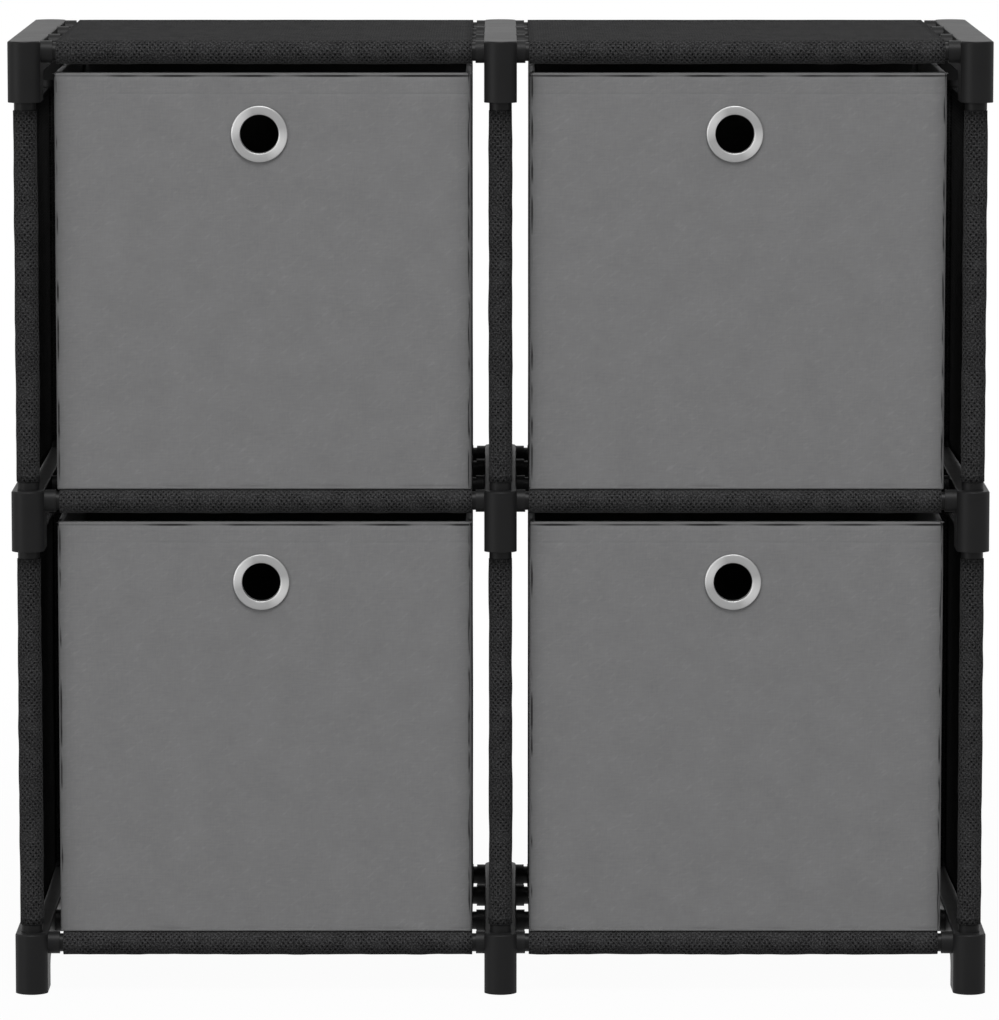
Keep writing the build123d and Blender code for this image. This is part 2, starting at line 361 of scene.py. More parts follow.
def plastic_finish(wire):
    """Moulded black plastic: fine eroded grain, a little uneven in gloss."""
    colour = bpy.context.scene.unit_finishes.plastic
    place = wire.object_place()
    grain = wire.noise(place, 1900.0, 3.0, 0.6)
    cloud = wire.noise(place, 45.0, 3.0)
    return {
        "Base Color": wire.blend(cloud, rgba(colour, 0.8), rgba(colour, 1.2)),
        "Roughness": 0.38 + cloud * 0.1 + grain * 0.06,
        "Specular IOR Level": 0.11,
        "Normal": wire.bump(grain, 0.06 * MM, 0.5),
    }


def paint_finish(wire):
    """Black powder coat with its orange-peel surface."""
    colour = bpy.context.scene.unit_finishes.steel
    place = wire.object_place()
    peel = wire.noise(place, 700.0, 2.0)
    cloud = wire.noise(place, 60.0, 2.0)
    return {
        "Base Color": wire.blend(cloud, rgba(colour, 0.85), rgba(colour, 1.2)),
        "Roughness": 0.36 + cloud * 0.1,
        "Specular IOR Level": 0.11,
        "Normal": wire.bump(peel, 0.08 * MM, 0.5),
    }


def dot_field(wire, across, along, shift):
    """Distance in metres to the nearest dot of one lattice, from the place on the cut cloth."""
    pitch_across, pitch_along = 3.7 * MM, 4.4 * MM
    side = (across / pitch_across + shift).fraction() - 0.5
    run = (along / pitch_along + shift).fraction() - 0.5
    side = side * pitch_across
    run = run * pitch_along
    return wire.math("SQRT", side * side + run * run)


def cloth_finish(wire):
    """Black point-bonded cloth: staggered pressed dots between soft fibres."""
    colour = bpy.context.scene.unit_finishes.cloth
    cut = wire.cut_place()
    across, along, _ = wire.parts(cut)
    even, odd = dot_field(wire, across, along, 0.0), dot_field(wire, across, along, 0.5)
    nearest = wire.math("MINIMUM", even, odd)
    wear = wire.noise(cut, 110.0, 2.0).smooth(0.32, 0.62)
    dot = (1 - nearest.smooth(0.45 * MM, 1.05 * MM)) * (0.25 + wear * 0.65)
    fibre = wire.noise(wire.stretched(cut, (1.0, 0.55, 1.0)), 2600.0, 3.0, 0.65)
    speck = wire.noise(cut, 950.0, 1.0).smooth(0.42, 0.68)
    cloud = wire.noise(cut, 70.0, 3.0)
    lit = fibre * 0.35 + speck * 0.35 + cloud * 0.3
    bare = wire.blend(lit.smooth(0.2, 0.75), rgba(colour, 0.55), rgba(colour, 1.9))
    return {
        "Base Color": wire.blend(dot, bare, rgba(colour, 0.12)),
        "Roughness": 0.9 - dot * 0.2,
        "Specular IOR Level": 0.0,
        "Sheen Weight": 0.029,
        "Sheen Roughness": 0.5,
        "Normal": wire.bump((1 - dot) * 0.8 + fibre * 0.2, 0.35 * MM, 0.9),
    }


def fabric_finish(wire):
    """Grey box fabric: fine crossed threads, mottled, with slanted flecks, and painted shade down in the seam
    grooves and beside the upright corners.
    """
    colour = bpy.context.scene.unit_finishes.fabric
    cut = wire.cut_place()
    # The painted shade of the grooves and corners, read from the cover's vertices.
    seam = wire.node("ShaderNodeAttribute", {"attribute_name": PAINTED_SHADE_LAYER}, output="Fac")
    across, along, _ = wire.parts(cut)
    turns = 2 * math.pi / THREAD_PITCH
    warp = wire.math("SINE", across * turns)
    weft = wire.math("SINE", along * turns)
    weave = wire.math("ABSOLUTE", warp * weft)
    slub = wire.noise(wire.stretched(cut, (0.12, 1.0, 1.0)), 900.0, 2.0)
    cross_slub = wire.noise(wire.stretched(cut, (1.0, 0.12, 1.0)), 900.0, 2.0)
    fibre = wire.noise(cut, 2400.0, 3.0, 0.6)
    mottle = wire.noise(cut, 38.0, 4.0, 0.55)
    sockets = {"Vector": cut, "Angle": FLECK_SLANT}
    slanted = wire.node("ShaderNodeVectorRotate", {"rotation_type": "Z_AXIS"}, sockets)
    fleck = wire.noise(wire.stretched(slanted, (0.3, 1.0, 1.0)), 420.0, 1.0).smooth(0.56, 0.78)
    tone = 0.03 + mottle * 0.2 + fibre * 0.28 + slub * 0.2 + cross_slub * 0.14
    tone = tone + weave * 0.1 + fleck * mottle * 0.2
    cloth = wire.blend(tone.smooth(0.2, 0.8), rgba(colour, 0.80), rgba(colour, 1.2))
    return {
        # Painted shade: the fabric is darkened towards 0.06 of its colour in the seam grooves and beside the
        # corners.
        "Base Color": wire.blend(seam, cloth, rgba(colour, 0.06)),
        "Roughness": 0.84 + fibre * 0.1,
        "Specular IOR Level": 0.12,
        "Sheen Weight": 0.03,
        "Sheen Roughness": 0.5,
        "Normal": wire.bump(weave * 0.5 + fibre * 0.3 + slub * 0.2, 0.14 * MM, 0.7),
    }


def thread_finish(wire):
    """Twisted sewing thread in the colour of the frame's cloth."""
    colour = bpy.context.scene.unit_finishes.cloth
    twist = wire.noise(wire.object_place(), 1500.0, 2.0)
    return {
        "Base Color": wire.blend(twist, rgba(colour, 0.6), rgba(colour, 1.3)),
        "Roughness": 0.6 + twist * 0.2,
        "Specular IOR Level": 0.3,
        "Normal": wire.bump(twist, 0.1 * MM, 0.6),
    }


def board_finish(wire):
    """Grey-brown board with its pulp fibres."""
    colour = bpy.context.scene.unit_finishes.board
    place = wire.object_place()
    pulp = wire.noise(place, 900.0, 4.0, 0.6)
    cloud = wire.noise(place, 40.0, 2.0)
    return {
        "Base Color": wire.blend(pulp * 0.6 + cloud * 0.4, rgba(colour, 0.75), rgba(colour, 1.2)),
        "Roughness": 0.88 + pulp * 0.08,
        "Normal": wire.bump(pulp, 0.08 * MM, 0.5),
    }


def base_finish(wire):
    """The box fabric glued flat on the loose base board."""
    colour = bpy.context.scene.unit_finishes.fabric
    place = wire.object_place()
    fibre = wire.noise(place, 2400.0, 3.0, 0.6)
    slub = wire.noise(wire.stretched(place, (0.12, 1.0, 1.0)), 900.0, 2.0)
    mottle = wire.noise(place, 38.0, 4.0, 0.55)
    tone = mottle * 0.4 + fibre * 0.35 + slub * 0.25
    return {
        "Base Color": wire.blend(tone.smooth(0.2, 0.8), rgba(colour, 0.75), rgba(colour, 1.1)),
        "Roughness": 0.86 + fibre * 0.1,
        "Specular IOR Level": 0.25,
        "Normal": wire.bump(fibre * 0.6 + slub * 0.4, 0.14 * MM, 0.7),
    }


def eyelet_finish(wire):
    """Nickel plate, brushed round the ring, with two bright sectors painted in as highlights. The cut map
    holds the arc length and the place across it.
    """
    colour = bpy.context.scene.unit_finishes.eyelet
    cut = wire.cut_place()
    around, _, _ = wire.parts(cut)
    rings = wire.noise(wire.stretched(cut, (0.02, 1.0, 1.0)), 5200.0, 2.0, 0.6)
    # Painted highlight: two opposite sectors of the ring are made lighter in colour, as a brushed ring's
    # reflection would be; the brushed rings add real streaks to it.
    double_angle = around * (2 / bpy.context.scene.unit_box.eyelet_radius)
    sweep = wire.math("COSINE", double_angle - PAINTED_GLINT_ANGLE)
    painted_glint_and_brushing = 0.12 + wire.math("MAXIMUM", sweep, 0.0) * 0.75 + (rings - 0.5) * 0.3
    return {
        "Base Color": wire.blend(painted_glint_and_brushing, rgba(colour, 0.85), rgba(colour, 1.6)),
        "Metallic": 1.0,
        "Roughness": 0.4 + rings * 0.16,
        "Normal": wire.bump(rings, 0.06 * MM, 0.8),
    }


def plain_metal_finish(wire):
    """Nickel plate of the washers, rolled smooth."""
    colour = bpy.context.scene.unit_finishes.eyelet
    cloud = wire.noise(wire.object_place(), 300.0, 3.0)
    return {
        "Base Color": wire.blend(cloud, rgba(colour, 0.85), rgba(colour, 1.05)),
        "Metallic": 1.0,
        "Roughness": 0.3 + cloud * 0.12,
        "Normal": wire.bump(cloud, 0.02 * MM, 0.4),
    }


def finish_piece(name, bm, material, body, replaced=()):
    """Turn a bmesh into a smooth piece that rides on a body and stands for the nodes it replaces."""
    mesh = bpy.data.meshes.new(name)
    bm.to_mesh(mesh)
    bm.free()
    mesh.shade_smooth()
    mesh.materials.append(material)
    piece = bpy.data.objects.new(name, mesh)
    bpy.context.scene.collection.objects.link(piece)
    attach(piece, body)
    if replaced:
        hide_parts(*replaced)
    return piece


def path_point(runs, distance):
    """Place and heading on a path of straight runs and arcs, each a length, a turn and a count of steps."""
    along, up, heading = 0.0, 0.0, 0.0
    for length, turn, _ in runs:
        step = min(distance, length)
        swing = turn * step / length
        if turn:
            radius = length / turn
            along += radius * (math.sin(heading + swing) - math.sin(heading))
            up += radius * (math.cos(heading) - math.cos(heading + swing))
        else:
            along += step * math.cos(heading)
            up += step * math.sin(heading)
        heading += swing
        distance -= step
        if distance <= 0:
            break
    return along, up, heading


def row_places(runs):
    """Distances of the rows of a sheet along a path, as many in each run as it asks for."""
    places = [0.0]
    for length, _, steps in runs:
        start = places[-1]
        places += [start + length * (step + 1) / steps for step in range(steps)]
    return places


def rounded(first, turn, second):
    """Two straight runs, each a length and a count of steps, that meet at a turn with its corner rounded."""
    cut = FOLD_RADIUS * math.tan(abs(turn) / 2)
    return [
        [first[0] - cut, 0.0, first[1]],
        [FOLD_RADIUS * abs(turn), turn, FOLD_STEPS],
        [second[0] - cut, 0.0, second[1]],
    ]


def cut_sheet(width, half_runs):
    """A flat sheet with rows as the path asks, and the place of each vertex on it from its middle."""
    places = row_places(half_runs)
    half = len(places) - 1
    bm = bmesh.new()
    bmesh.ops.create_grid(bm, x_segments=CLOTH_COLUMNS, y_segments=2 * half, size=0.5)
    flat = {}
    for vert in bm.verts:
        row = round((vert.co.y + 0.5) * 2 * half) - half
        flat[vert] = (vert.co.x * width, math.copysign(places[abs(row)], row))
    return bm, flat


def map_cut(bm, flat, turned):
    """Write the cut map: across and along the cloth, or along and across where the cloth is turned."""
    layer = bm.loops.layers.uv.new(CUT_MAP)
    for face in bm.faces:
        for loop in face.loops:
            across, along = flat[loop.vert]
            loop[layer].uv = (along, across) if turned else (across, along)


def thicken(piece, thickness):
    """Give a sheet its thickness, half to each side."""
    solid = piece.modifiers.new("thickness", "SOLIDIFY")
    solid.thickness = thickness
    solid.offset = 0.0
    solid.use_even_offset = True


def add_stitches(bm, start, end, out, sizes):
    """A straight row of stitches from start to end that lie on a surface facing out."""
    run = end - start
    count = int(run.length / sizes.stitch_pitch)
    way = run.normalized()
    side = out.cross(way)
    turn = Matrix((way, side, out)).transposed().to_4x4()
    shape = Matrix.Diagonal((sizes.stitch, sizes.thread, sizes.thread, 1.0))
    for index in range(count):
        place = start + run * ((index + 0.5) / count)
        matrix = Matrix.Translation(place) @ turn @ shape
        bmesh.ops.create_uvsphere(bm, u_segments=6, v_segments=4, radius=0.5, matrix=matrix)


def sew_cloth(node, bm, flat, turned, sizes):
    """Turn a sheet that lies in its place into the cloth that stands for a node."""
    map_cut(bm, flat, turned)
    bmesh.ops.recalc_face_normals(bm, faces=bm.faces)
    material = surface("bonded_cloth", cloth_finish)
    cloth = finish_piece(f"{node}_cloth", bm, material, "frame", [node])
    thicken(cloth, sizes.thickness)
    return cloth


def sew_stitches(node, rows, sizes):
    """The stitches of a cloth, in rows that each have a start, an end and the way that they face."""
    bm = bmesh.new()
    for start, end, out in rows:
        add_stitches(bm, Vector(start), Vector(end), Vector(out), sizes)
    material = surface("cloth_thread", thread_finish)
    return finish_piece(f"{node}_stitches", bm, material, "frame")


def sleeve_radius(sizes):
    """Radius of the middle of the cloth round a rail or a post, from a rail's height."""
    low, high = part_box("top_rails_1")
    return (high.z - low.z) / 2 + sizes.ease + sizes.thickness / 2


def sleeve_pucker(across, share, seed):
    """Fine unevenness of a sleeve, from -1 to 1 and none at its seam, a share of the way round its tube."""
    if not 0.0 < share < 1.0:
        return 0.0
    return noise.noise((across * PUCKERS, share * 2, seed)) * math.sin(share * math.pi)


def sunk_share(along, inner, reach):
    """How far a shelf has sunk, from 0 at a rail to 1 halfway to the next one."""
    if abs(along) >= reach:
        return 0.0
    if abs(along) < inner:
        share = (along + inner) / (2 * inner)
    else:
        share = (abs(along) - inner) / (reach - inner)
    return math.sin(share * math.pi) ** 2


def make_shelf(level, bay, sizes):
    """One shelf: cloth over four rails, folded round the first and the last and sewn to itself."""
    node = f"{level}_{bay}_shelf"
    low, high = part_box(node)
    width = high.x - low.x
    middle = (low.x + high.x) / 2
    axis_z = (low.z + high.z) / 2
    reach = high.y - (high.z - low.z) / 2
    radius = sleeve_radius(sizes)
    drop = radius - sizes.thickness
    gap = math.hypot(sizes.seam, drop)
    wrap = 2.5 * math.pi - (math.pi - math.atan2(drop, sizes.seam)) - math.acos(radius / gap)
    rise = math.sqrt(gap * gap - radius * radius)
    runs = [[reach, 0.0, SHELF_STEPS], [radius * wrap, -wrap, WRAP_STEPS]]
    runs += rounded((rise, RISE_STEPS), wrap - math.pi, (sizes.lap, LAP_STEPS))
    turn = radius * wrap + rise
    bm, flat = cut_sheet(width, runs)
    top_z = axis_z + radius - sizes.hang
    inner_low, inner_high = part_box(f"{level}_rails_3")
    inner = (inner_low.y + inner_high.y) / 2
    seed = 31 * axis_z + 7 * middle + 5
    for vert, (across, along) in flat.items():
        out, up, heading = path_point(runs, abs(along))
        uneven = noise.noise((across * SHELF_RIPPLES, along * SHELF_RIPPLES, axis_z * 9)) * sizes.ripple
        uneven -= sizes.sag * sunk_share(along, inner, reach) * math.cos(across / width * SAG_ARCH)
        share = (abs(along) - reach) / turn
        uneven += sizes.pucker * sleeve_pucker(across, share, math.copysign(seed, along))
        y = math.copysign(out, along) - math.copysign(math.sin(heading), along) * uneven
        vert.co = Vector((middle + across, y, top_z + up + math.cos(heading) * uneven))
    cloth = sew_cloth(node, bm, flat, False, sizes)
    start_x, end_x = low.x + STITCH_INSET, high.x - STITCH_INSET
    seam_z = top_z + sizes.thickness / 2
    rows = []
    for seam_y in (sizes.seam - reach, reach - sizes.seam):
        rows.append(((start_x, seam_y, seam_z), (end_x, seam_y, seam_z), (0, 0, 1)))
    stitches = sew_stitches(node, rows, sizes)
    flat_size = (width, 2 * row_places(runs)[-1])


def make_panel(storey, line, sizes):
    """One upright panel: cloth folded round the front post and the back post and sewn to itself."""
    node = f"{storey}_{line}_panel"
    low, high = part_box(node)
    axis_x = (low.x + high.x) / 2
    outward = -1.0 if line == "left" else 1.0
    reach = high.y - (high.x - low.x) / 2
    radius = sleeve_radius(sizes)
    ply_gap = sizes.thickness * PLY_GAP
    lap_gap = math.hypot(sizes.seam, ply_gap)
    first_reach = math.acos(radius / sizes.seam)
    last_reach = math.acos(radius / lap_gap)
    wrap = 2 * math.pi - first_reach - last_reach - math.atan2(ply_gap, sizes.seam)
    lean = math.pi / 2 - first_reach
    seam_y = reach - sizes.seam
    near = math.sqrt(sizes.seam ** 2 - radius ** 2)
    far = math.sqrt(lap_gap ** 2 - radius ** 2)
    runs = rounded((seam_y, PANEL_STEPS), lean, (near, RISE_STEPS))
    runs += [[radius * wrap, -wrap, WRAP_STEPS]]
    runs += rounded((far, RISE_STEPS), wrap - lean - math.pi, (sizes.lap, LAP_STEPS))
    height = high.z - low.z - sizes.tab
    turn = near + radius * wrap + far
    bm, flat = cut_sheet(height, runs)
    wave_seed = axis_x * 7 + low.z
    pucker_seed = 31 * axis_x + 9 * low.z + 20
    for vert, (across, along) in flat.items():
        out, up, heading = path_point(runs, abs(along))
        uneven = noise.noise((across * PANEL_RIPPLES, along * PANEL_RIPPLES, wave_seed)) * sizes.ripple
        if abs(along) < seam_y:
            middle = math.cos(along / seam_y * math.pi / 2)
            wave = noise.noise((across * PANEL_WAVES, along * PANEL_WAVES, wave_seed))
            uneven += wave * WAVE_RIPPLES * sizes.ripple * middle
            if across < 0:
                tab = min(1.0, (seam_y - abs(along)) / TAB_EASE)
                across += 2 * across / height * sizes.tab * tab
        share = (abs(along) - seam_y) / turn
        uneven += sizes.pucker * sleeve_pucker(across, share, math.copysign(pucker_seed, along))
        x = axis_x + outward * (up + math.cos(heading) * uneven)
        y = math.copysign(out - math.sin(heading) * uneven, along)
        vert.co = Vector((x, y, high.z - height / 2 + across))
    cloth = sew_cloth(node, bm, flat, True, sizes)
    top_z, foot_z = high.z - STITCH_INSET, high.z - height + STITCH_INSET
    row_y = seam_y - sizes.lap / 3
    rows = []
    for side, lift in ((-1.0, 0.5 + PLY_GAP), (1.0, 0.5)):
        x = axis_x + outward * side * sizes.thickness * lift
        for y in (-row_y, row_y):
            rows.append(((x, y, top_z), (x, y, foot_z), (outward * side, 0, 0)))
    stitches = sew_stitches(node, rows, sizes)
    flat_size = (height, 2 * row_places(runs)[-1])


def cut_across(bm, normal, places):
    """Cut loops square to a direction at each place along it."""
    for place in places:
        geometry = bm.verts[:] + bm.edges[:] + bm.faces[:]
        bmesh.ops.bisect_plane(
            bm, geom=geometry, dist=CUT_DISTANCE, plane_co=normal * place, plane_no=normal
        )


def spaced_places(centre, cell, low, high):
    """Places a cell apart, counted from a centre, that lie between low and high."""
    first = math.ceil((low - centre) / cell)
    last = math.floor((high - centre) / cell)
    return [centre + cell * index for index in range(first, last + 1)]


def seam_places(edge, distance, sizes):
    """Places for the crease along a seam that runs at a distance from an edge."""
    return [edge + distance + sizes.seam_width * step for step in (-1.0, -0.5, 0.0, 0.5, 1.0)]


def hole_for_eyelet(bm, eye, sizes):
    """Open a round hole in the front wall, ringed by loops that follow the eyelet."""
    reach = HOLE_CELLS * sizes.cell
    patch = []
    for face in bm.faces:
        centre = face.calc_center_median()
        if face.normal.y < -0.9 and abs(centre.x - eye.x) < reach and abs(centre.z - eye.z) < reach:
            patch.append(face)
    around = dict.fromkeys(edge for face in patch for edge in face.edges)
    border = [edge for edge in around if any(face not in patch for face in edge.link_faces)]
    bmesh.ops.delete(bm, geom=patch, context="FACES")
    for share in HOLE_RINGS:
        grown = bmesh.ops.extrude_edge_only(bm, edges=border)["geom"]
        ring = {part for part in grown if isinstance(part, bmesh.types.BMVert)}
        for vert in ring:
            vert.co = eye + (vert.co - eye).normalized() * sizes.eyelet_radius * share
        edges = [part for part in grown if isinstance(part, bmesh.types.BMEdge)]
        border = [edge for edge in edges if ring.issuperset(edge.verts)]


def cover_shell(low, high, eye, sizes):
    """The closed wall of a cover: skin, folded rim and lining, cut into loops along its seams."""
    bm = bmesh.new()
    centre, size = (low + high) / 2, high - low
    bmesh.ops.create_cube(bm, matrix=Matrix.Translation(centre) @ Matrix.Diagonal((*size, 1.0)))
    upright = [e for e in bm.edges if abs(e.verts[0].co.z - e.verts[1].co.z) > size.z / 2]
    bmesh.ops.bevel(bm, geom=upright, offset=sizes.corner, segments=4, **ROUNDED)
    floor = [e for f in bm.faces if f.normal.z < -0.9 for e in f.edges]
    bmesh.ops.bevel(bm, geom=floor, offset=sizes.foot, segments=3, **ROUNDED)
    bmesh.ops.delete(bm, geom=[f for f in bm.faces if f.normal.z > 0.9], context="FACES")
    clear = 1.5 * sizes.rim_seam
    rim, side = sizes.rim_seam, sizes.side_seam
    heights = spaced_places(eye.z, sizes.cell, low.z + clear, high.z - clear)
    heights += seam_places(high.z, -rim, sizes) + seam_places(low.z, rim, sizes)
    heights += seam_places(high.z, -sizes.hem, sizes)
    cut_across(bm, Vector((0, 0, 1)), heights)
    widths = spaced_places(eye.x, sizes.cell, low.x + clear, high.x - clear)
    widths += seam_places(low.x, side, sizes) + seam_places(high.x, -side, sizes)
    cut_across(bm, Vector((1, 0, 0)), widths)
    depths = spaced_places(centre.y, sizes.cell, low.y + clear, high.y - clear)
    depths += seam_places(low.y, side, sizes) + seam_places(high.y, -side, sizes)
    cut_across(bm, Vector((0, 1, 0)), depths)
    hole_for_eyelet(bm, eye, sizes)
    bmesh.ops.recalc_face_normals(bm, faces=bm.faces)
    bmesh.ops.solidify(bm, geom=bm.faces[:], thickness=sizes.wall)
    return bm


def eased(share):
    """A share held between 0 and 1, with soft ends."""
    share = min(1.0, max(0.0, share))
    return share * share * (3 - 2 * share)


def crease(distance, centre, width):
    """One at the middle of a crease, easing to zero at its edges."""
    return eased(1.0 - abs(distance - centre) / width)


def openness(place, seed):
    """How far a seam gapes at a place along it, from 0 to 1, in stretches of a few stitches."""
    return eased(0.45 + 1.3 * noise.noise((place * SEAM_GAPES, seed, 0.5 * seed)))


def crumple_cover(bm, low, high, eye, sizes, seed):
    """Press the seams into the skin, roll the rim, keep the cloth a little uneven, and paint shade into the
    seams and beside the corners.
    """
    painted_shade_layer = bm.verts.layers.float.new(PAINTED_SHADE_LAYER)
    bm.normal_update()
    moves = {}
    for vert in bm.verts:
        place = vert.co
        from_side = min(place.x - low.x, high.x - place.x)
        from_end = min(place.y - low.y, high.y - place.y)
        if min(from_side, from_end) > 0.3 * sizes.wall or vert.normal.z < -0.5:
            continue
        along_x = abs(vert.normal.y) > abs(vert.normal.x)
        run, edge = (place.x, from_side) if along_x else (place.y, from_end)
        below, above = high.z - place.z, place.z - low.z
        wall_seed = seed + round(math.atan2(vert.normal.y, vert.normal.x))
        rim_gape = openness(run, wall_seed)
        side_gape = openness(SIDE_GAPES * place.z, wall_seed + 7.3 + (run > (low.x + high.x) / 2))
        # A groove is a real crease pressed into the skin, and its depth also sets the painted shade written
        # below.
        groove = crease(below, sizes.rim_seam, sizes.seam_width) * (0.35 + 0.65 * rim_gape)
        groove = max(groove, crease(edge, sizes.side_seam, sizes.seam_width) * side_gape)
        groove = max(groove, crease(above, sizes.rim_seam, sizes.seam_width) * 0.3 * rim_gape)
        hem = crease(below, sizes.hem, sizes.seam_width) * 0.18 * (0.4 + rim_gape)
        # Painted shade: darker colour close to the upright corners, where the walls turn away from the light.
        shade = PAINTED_EDGE_SHADE * math.exp(-edge / SHADE_REACH) * min(1.0, below / SHADE_TOP)
        from_eye = math.hypot(place.x - eye.x, place.z - eye.z) if vert.normal.y < -0.9 else 1.0
        free = min(1.0, max(0.0, (from_eye - EYELET_ROOM) / EYELET_EASE))
        drawn = CORNER_DRAW * math.exp(-edge / CORNER_REACH) + RIM_DRAW * math.exp(-below / RIM_REACH)
        uneven = WALL_UNEVEN * (1 + noise.noise((run * WALL_WAVES, place.z * WALL_WAVES, wall_seed)))
        inward = sizes.seam_depth * (groove + hem) + free * (drawn + uneven)
        moves[vert] = -vert.normal * min(inward, sizes.skin)
        # Painted shade: the grooves and the strips beside the upright corners are made darker in colour
        # through this attribute.
        vert[painted_shade_layer] = max(eased((groove - 0.1) / 0.5), shade)
    for vert, move in moves.items():
        vert.co += move


def map_walls(bm):
    """Cut map of the walls: each face laid flat along its own wall."""
    layer = bm.loops.layers.uv.new(CUT_MAP)
    for face in bm.faces:
        normal = face.normal
        for loop in face.loops:
            place = loop.vert.co
            if abs(normal.z) > 0.7:
                loop[layer].uv = (place.x, place.y)
            elif abs(normal.y) > abs(normal.x):
                loop[layer].uv = (place.x, place.z)
            else:
                loop[layer].uv = (place.y, place.z)


def make_cover(box, seed):
    """The sewn cover of one box."""
    sizes = bpy.context.scene.unit_box
    node = f"{box}_cover"
    low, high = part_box(node)
    ring_low, ring_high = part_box(f"{box}_eyelet")
    eye = Vector(((ring_low.x + ring_high.x) / 2, low.y, (ring_low.z + ring_high.z) / 2))
    bm = cover_shell(low, high, eye, sizes)
    rim = [e for e in bm.edges if all(abs(v.co.z - high.z) < RIM_DISTANCE for v in e.verts)]
    rim = [e for e in rim if any(abs(f.normal.z) < 0.5 for f in e.link_faces)]
    bmesh.ops.bevel(bm, geom=rim, offset=sizes.rim, segments=3, **ROUNDED)
    crumple_cover(bm, low, high, eye, sizes, seed)
    bm.normal_update()
    map_walls(bm)
    material = surface("woven_fabric", fabric_finish)
    finish_piece(f"{box}_sewn_cover", bm, material, box, [node])


def make_eyelet(box):
    """Ring of one eyelet: crowned flange, barrel through the wall and its end rolled over the washer."""
    node = f"{box}_eyelet"
    low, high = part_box(node)
    cover_low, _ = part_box(f"{box}_cover")
    centre = Vector(((low.x + high.x) / 2, cover_low.y, (low.z + high.z) / 2))
    outer = (high.x - low.x) / 2
    crown = cover_low.y - low.y
    back = high.y - cover_low.y
    hole = outer - bpy.context.scene.unit_box.eyelet_band
    bm = bmesh.new()
    profile = [
        (outer - 1.2 * MM, -0.1 * MM), (outer - 0.2 * MM, 0.1 * MM),
        (outer, 0.7 * MM), (outer - 0.2 * MM, 1.35 * MM),
        (outer - 0.8 * MM, crown - 0.15 * MM), (outer - 2.4 * MM, crown),
        (hole + 0.9 * MM, crown - 0.05 * MM), (hole + 0.2 * MM, crown - 0.35 * MM),
        (hole, crown - 1.1 * MM), (hole, 0.6 * MM - back),
        (hole + 0.4 * MM, 0.1 * MM - back), (hole + 1.2 * MM, -back),
        (hole + 3.0 * MM, 0.1 * MM - back), (hole + 3.2 * MM, 0.8 * MM - back),
    ]
    line = [bm.verts.new((centre.x + radius, centre.y - out, centre.z)) for radius, out in profile]
    edges = [bm.edges.new(pair) for pair in zip(line, line[1:])]
    bmesh.ops.spin(
        bm, geom=line + edges, cent=centre, axis=(0, 1, 0),
        angle=2 * math.pi, steps=EYELET_STEPS, use_merge=True,
    )
    bmesh.ops.remove_doubles(bm, verts=bm.verts, dist=MERGE_DISTANCE)
    bmesh.ops.recalc_face_normals(bm, faces=bm.faces)
    layer = bm.loops.layers.uv.new(CUT_MAP)
    for face in bm.faces:
        middle = face.calc_center_median() - centre
        around = math.atan2(middle.z, middle.x)
        for loop in face.loops:
            place = loop.vert.co - centre
            turn = math.atan2(place.z, place.x)
            turn += 2 * math.pi * round((around - turn) / (2 * math.pi))
            loop[layer].uv = (turn * outer, math.hypot(place.x, place.z) - place.y)
    material = surface("brushed_nickel", eyelet_finish)
    ring = finish_piece(f"{box}_ring", bm, material, box, [node])
    smooth = ring.modifiers.new("smooth", "SUBSURF")
    smooth.levels = 1
    smooth.render_levels = 1


def paint_nodes(names, material):
    """Give a finish to CAD nodes whose shape stays as it is."""
    for name in names:
        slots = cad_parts[name].data.materials
        slots.clear()
        slots.append(material)


class UNIT_OT_shelves(bpy.types.Operator):
    """Wrap a cloth shelf round the rails of each bay and level"""

    bl_idname = "cube_unit.shelves"
    bl_label = "Cloth Shelves"

    def execute(self, context):
        for level in LEVELS:
            for bay in BAYS:
                make_shelf(level, bay, context.scene.unit_cloth)
        return {"FINISHED"}


class UNIT_OT_panels(bpy.types.Operator):
    """Wrap a cloth panel round the posts of each post line and storey"""

    bl_idname = "cube_unit.panels"
    bl_label = "Cloth Panels"

    def execute(self, context):
        for storey in STOREYS:
            for line in LINES:
                make_panel(storey, line, context.scene.unit_cloth)
        return {"FINISHED"}


class UNIT_OT_covers(bpy.types.Operator):
    """Sew the fabric cover of each box"""

    bl_idname = "cube_unit.covers"
    bl_label = "Box Covers"

    def execute(self, context):
        for index, box in enumerate(BOXES):
            make_cover(box, 11.0 * index + 3.0)
        return {"FINISHED"}


class UNIT_OT_eyelets(bpy.types.Operator):
    """Set the metal eyelet of each box"""

    bl_idname = "cube_unit.eyelets"
    bl_label = "Eyelets"

    def execute(self, context):
        for box in BOXES:
            make_eyelet(box)
        return {"FINISHED"}


class UNIT_OT_finishes(bpy.types.Operator):
    """Give the bars, tubes, boards and washers their finishes"""

    bl_idname = "cube_unit.finishes"
    bl_label = "Frame Finishes"

    def execute(self, context):
        bars = [f"{level}_{line}_bar" for level in LEVELS for line in LINES]
        tubes = [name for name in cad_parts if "_rails_" in name or name.endswith("_posts")]
        paint_nodes(bars, surface("moulded_plastic", plastic_finish))
        paint_nodes(tubes, surface("tube_paint", paint_finish))
        paint_nodes([f"{box}_boards" for box in BOXES], surface("wall_board", board_finish))
        paint_nodes([f"{box}_base" for box in BOXES], surface("covered_board", base_finish))
        paint_nodes([f"{box}_washer" for box in BOXES], surface("washer_metal", plain_metal_finish))
        return {"FINISHED"}


def shown_directly(wire):
    """One for rays that show the background itself: to the camera, in gloss and through glass."""
    outputs = wire.node("ShaderNodeLightPath").socket.node.outputs
    names = ("Is Camera Ray", "Is Glossy Ray", "Is Transmission Ray")
    camera, glossy, through = [Wire(wire.tree, outputs[name]) for name in names]
    return wire.math("MINIMUM", camera + glossy + through, 1.0)


